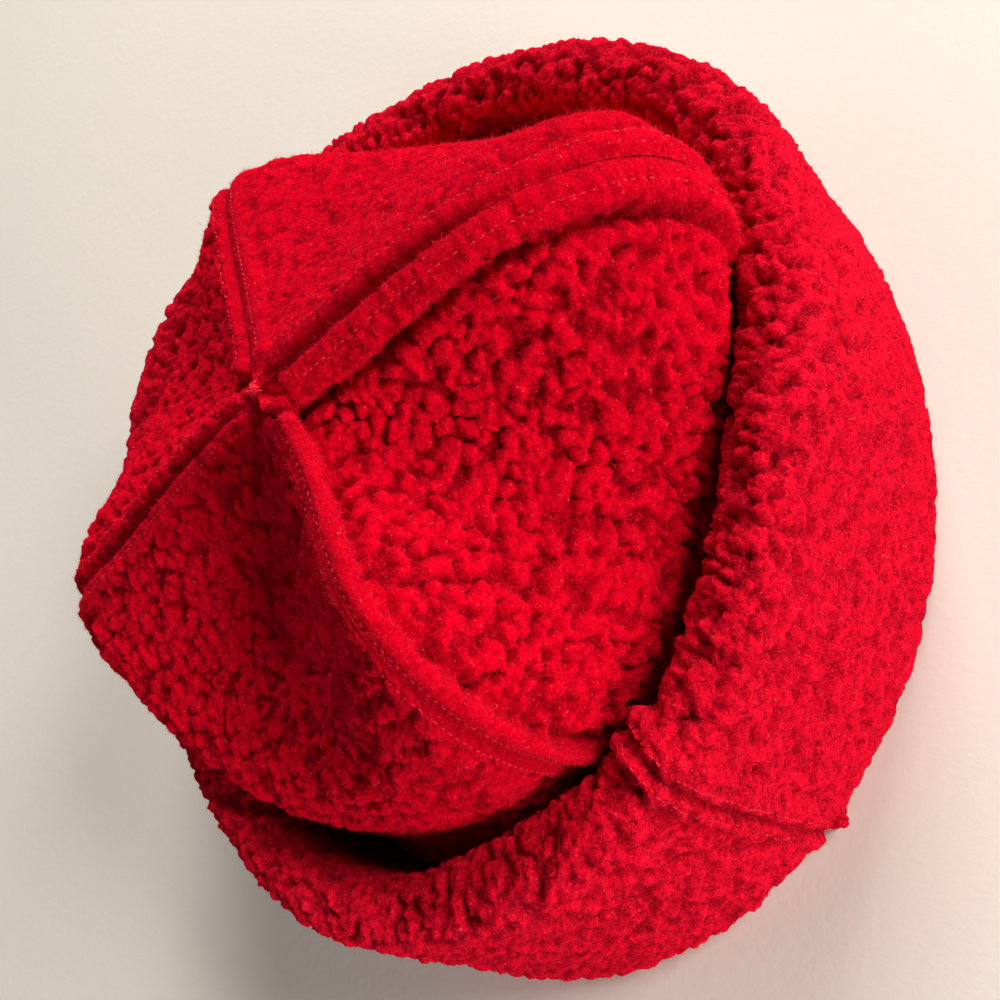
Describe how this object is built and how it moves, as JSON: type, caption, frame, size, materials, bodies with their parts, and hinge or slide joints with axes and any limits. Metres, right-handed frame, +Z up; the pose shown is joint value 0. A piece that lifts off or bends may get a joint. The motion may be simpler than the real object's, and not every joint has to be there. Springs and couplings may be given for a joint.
{
  "type": "pile fleece hat with turned-up cuff",
  "caption": "Soft curly-pile fleece hat: a dome of sewn triangular gores with topstitched seams, inside a deep, thick turned-up cuff with a rounded lip.",
  "frame": {"origin": "middle of the hat's footprint, in the plane of its rim", "axes": "+Z up through the crown; the hat stands on its rim. +X and +Y are level; the wearer faces about 123 degrees round from +X, and the seams of the cuff and the back of the crown are about 50 degrees the other way"},
  "size_m": [0.223, 0.2408, 0.1197],
  "materials": {
    "fleece": "curly pile fleece, matt, with a soft sheen",
    "thread": "polyester sewing thread, slightly shiny"
  },
  "bodies": {
    "root": {"gore_back_right": "fleece", "gore_front_right": "fleece", "gore_front_left": "fleece", "gore_back_left": "fleece", "cuff": "fleece", "topstitch_right_row_1": "thread", "topstitch_right_row_2": "thread", "topstitch_front_row_1": "thread", "topstitch_front_row_2": "thread", "topstitch_left_row_1": "thread", "topstitch_left_row_2": "thread", "topstitch_back_row_1": "thread", "topstitch_back_row_2": "thread", "seam_thread_right": "thread", "seam_thread_front": "thread", "seam_thread_left": "thread", "seam_thread_back": "thread", "cuff_topstitch_row_1": "thread", "cuff_topstitch_row_2": "thread", "cuff_seam_thread": "thread", "cuff_join_thread": "thread", "crown_tack": "thread"}
  },
  "joints": []
}
